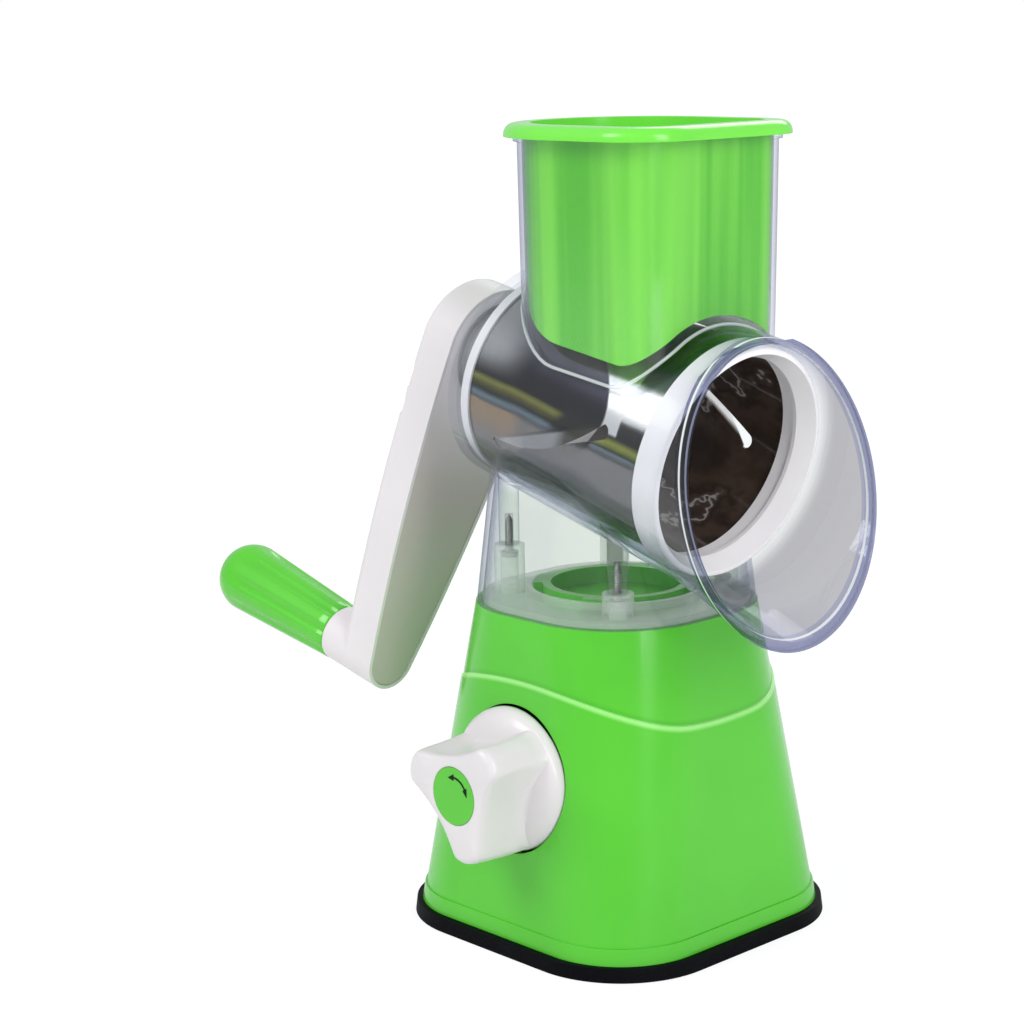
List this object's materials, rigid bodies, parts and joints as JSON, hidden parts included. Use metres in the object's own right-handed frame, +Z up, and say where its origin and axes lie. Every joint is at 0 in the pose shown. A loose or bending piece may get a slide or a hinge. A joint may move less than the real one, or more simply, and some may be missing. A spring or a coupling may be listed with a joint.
{
  "type": "rotary vegetable shredder",
  "caption": "Hand-cranked rotary shredder: a clear housing with feed tower, pusher and flared mouth over a steel slicing drum, on a tapered base with a suction foot and a lobed locking knob.",
  "frame": {"origin": "centre of the rubber foot's underside, on the table", "axes": "+Z is up, +X points the way the shreds leave the mouth, the crank is at -X and the suction knob faces -Y"},
  "size_m": [0.2657, 0.1414, 0.28],
  "materials": {
    "green_plastic": "glossy, smooth moulded",
    "white_plastic": "satin gloss, smooth moulded",
    "inner_plastic": "plain moulded, unseen inside the base",
    "clear_plastic": "clear, polished",
    "black_rubber": "matte",
    "cup_rubber": "smooth, soft",
    "drum_steel": "mirror-bright stainless sheet",
    "screw_steel": "zinc-bright screws and pins"
  },
  "bodies": {
    "base": {"base_shell": "green_plastic", "foot_ring": "black_rubber", "suction_cup": "cup_rubber", "suction_frame": "inner_plastic", "frame_screws": "screw_steel"},
    "suction_stem": {"pull_stem": "inner_plastic"},
    "suction_knob": {"knob": "white_plastic", "knob_badge": "green_plastic", "knob_screw": "screw_steel", "cam_shaft": "inner_plastic", "shaft_clip": "screw_steel"},
    "housing": {"housing": "clear_plastic", "bayonet_plate": "clear_plastic", "housing_screws": "screw_steel"},
    "crank": {"crank_arm": "white_plastic", "crank_cover": "white_plastic", "grip_axle": "screw_steel"},
    "latch": {"latch_slide": "white_plastic"},
    "grip": {"grip": "green_plastic"},
    "drum": {"drum_shell": "drum_steel", "drum_hub": "white_plastic", "drum_ring": "white_plastic"},
    "pusher": {"pusher": "green_plastic"}
  },
  "joints": [
    {"name": "knob_turn", "type": "hinge", "parent": "base", "child": "suction_knob", "pos_m": [0, -0.06, 0.0597], "axis": [0, -1, 0], "range_deg": [0, 90]},
    {"name": "stem_lift", "type": "slide", "parent": "base", "child": "suction_stem", "axis": [0, 0, 1], "range_m": [-0.0051, 0], "deforming": ["suction_cup"]},
    {"name": "housing_twist", "type": "hinge", "parent": "base", "child": "housing", "pos_m": [0, 0, 0.116], "axis": [0, 0, 1], "range_deg": [-28, 0]},
    {"name": "crank_turn", "type": "hinge", "parent": "housing", "child": "crank", "pos_m": [-0.05631, 0, 0.19449], "axis": [0.9751, 0, -0.2215], "continuous": true},
    {"name": "drum_out", "type": "slide", "parent": "crank", "child": "drum", "axis": [0.9751, 0, -0.2215], "range_m": [0, 0.125]},
    {"name": "latch_pull", "type": "slide", "parent": "crank", "child": "latch", "axis": [-0.2138, -0.2622, -0.941], "range_m": [0, 0.0036], "stiffness_N_per_m": 300},
    {"name": "grip_spin", "type": "hinge", "parent": "crank", "child": "grip", "pos_m": [-0.14075, -0.0318, 0.09364], "axis": [0.9751, 0, -0.2215], "continuous": true},
    {"name": "pusher_lift", "type": "slide", "parent": "housing", "child": "pusher", "axis": [0, 0, 1], "range_m": [0, 0.08]}
  ],
  "couplings": [
    {"joint": "stem_lift", "follows": "knob_turn", "m_per_rad": -0.0031831}
  ]
}
